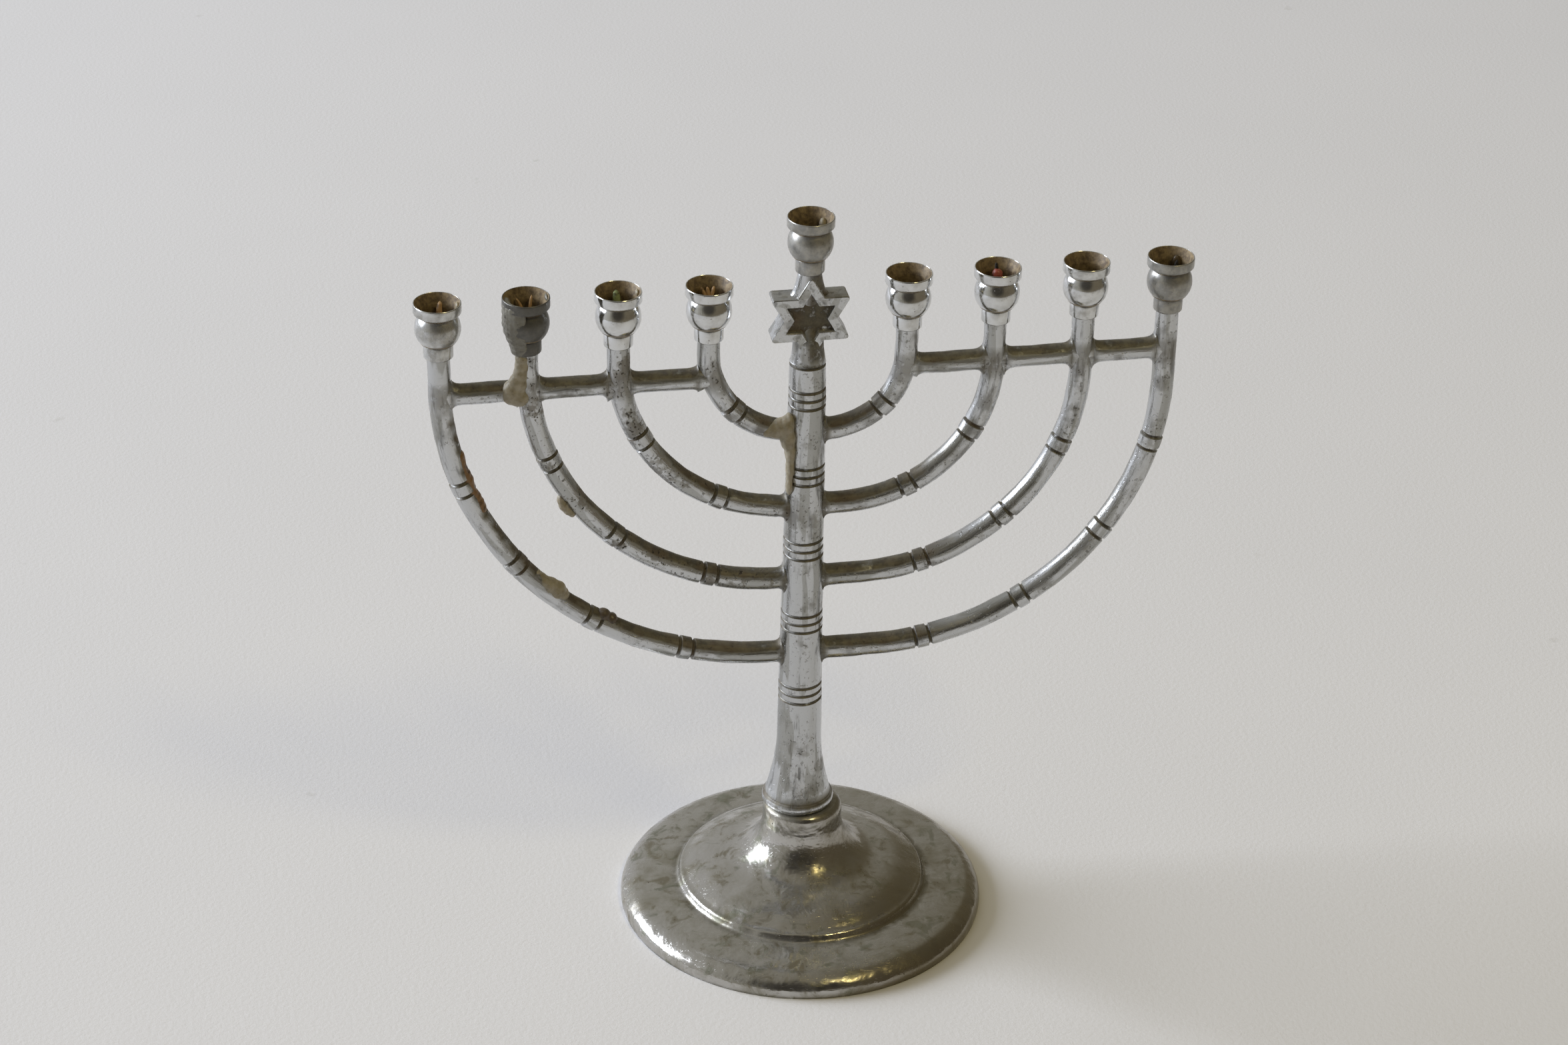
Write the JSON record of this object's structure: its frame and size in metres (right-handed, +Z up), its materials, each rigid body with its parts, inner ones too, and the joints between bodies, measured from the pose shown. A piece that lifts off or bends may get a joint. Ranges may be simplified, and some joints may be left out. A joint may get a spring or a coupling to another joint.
{
  "type": "menorah",
  "caption": "Nine-branch chrome menorah: cast stem with concentric arms, crossbars and a star, screw-in candle cups and a round stepped hollow foot.",
  "frame": {"origin": "on the stem's axis, on the surface that the foot stands on", "axes": "+X along the arms towards the right-hand end as seen from the front, +Y away from the viewer, +Z up"},
  "size_m": [0.1814, 0.0894, 0.1865],
  "materials": {
    "cast_chrome": "worn, pitted chrome plate over a casting, with brown grime in the grooves and on upward faces",
    "cup_chrome": "bright chrome plate on turned metal, browned inside",
    "foot_chrome": "dulled, patchy chrome plate on spun metal",
    "screw_steel": "dull zinc-plated steel",
    "washer_steel": "dull zinc-plated steel",
    "candle_wax": "old dirty candle wax, waxy sheen",
    "burnt_wick": "charred cotton wick and soot"
  },
  "bodies": {
    "candelabrum": {"candelabrum": "cast_chrome", "foot": "foot_chrome", "foot_screw": "screw_steel", "foot_washer": "washer_steel"},
    "shamash_cup": {"shamash_cup": "cup_chrome"},
    "candle_cup_1": {"candle_cup_1": "cup_chrome"},
    "candle_cup_2": {"candle_cup_2": "cup_chrome"},
    "candle_cup_3": {"candle_cup_3": "cup_chrome"},
    "candle_cup_4": {"candle_cup_4": "cup_chrome"},
    "candle_cup_5": {"candle_cup_5": "cup_chrome"},
    "candle_cup_6": {"candle_cup_6": "cup_chrome"},
    "candle_cup_7": {"candle_cup_7": "cup_chrome"},
    "candle_cup_8": {"candle_cup_8": "cup_chrome"}
  },
  "joints": [
    {"name": "shamash_cup_lift", "type": "slide", "parent": "candelabrum", "child": "shamash_cup", "axis": [0, 0, 1], "range_m": [0, 0.012]},
    {"name": "candle_cup_1_lift", "type": "slide", "parent": "candelabrum", "child": "candle_cup_1", "axis": [0, 0, 1], "range_m": [0, 0.012]},
    {"name": "candle_cup_2_lift", "type": "slide", "parent": "candelabrum", "child": "candle_cup_2", "axis": [0, 0, 1], "range_m": [0, 0.012]},
    {"name": "candle_cup_3_lift", "type": "slide", "parent": "candelabrum", "child": "candle_cup_3", "axis": [0, 0, 1], "range_m": [0, 0.012]},
    {"name": "candle_cup_4_lift", "type": "slide", "parent": "candelabrum", "child": "candle_cup_4", "axis": [0, 0, 1], "range_m": [0, 0.012]},
    {"name": "candle_cup_5_lift", "type": "slide", "parent": "candelabrum", "child": "candle_cup_5", "axis": [0, 0, 1], "range_m": [0, 0.012]},
    {"name": "candle_cup_6_lift", "type": "slide", "parent": "candelabrum", "child": "candle_cup_6", "axis": [0, 0, 1], "range_m": [0, 0.012]},
    {"name": "candle_cup_7_lift", "type": "slide", "parent": "candelabrum", "child": "candle_cup_7", "axis": [0, 0, 1], "range_m": [0, 0.012]},
    {"name": "candle_cup_8_lift", "type": "slide", "parent": "candelabrum", "child": "candle_cup_8", "axis": [0, 0, 1], "range_m": [0, 0.012]}
  ]
}
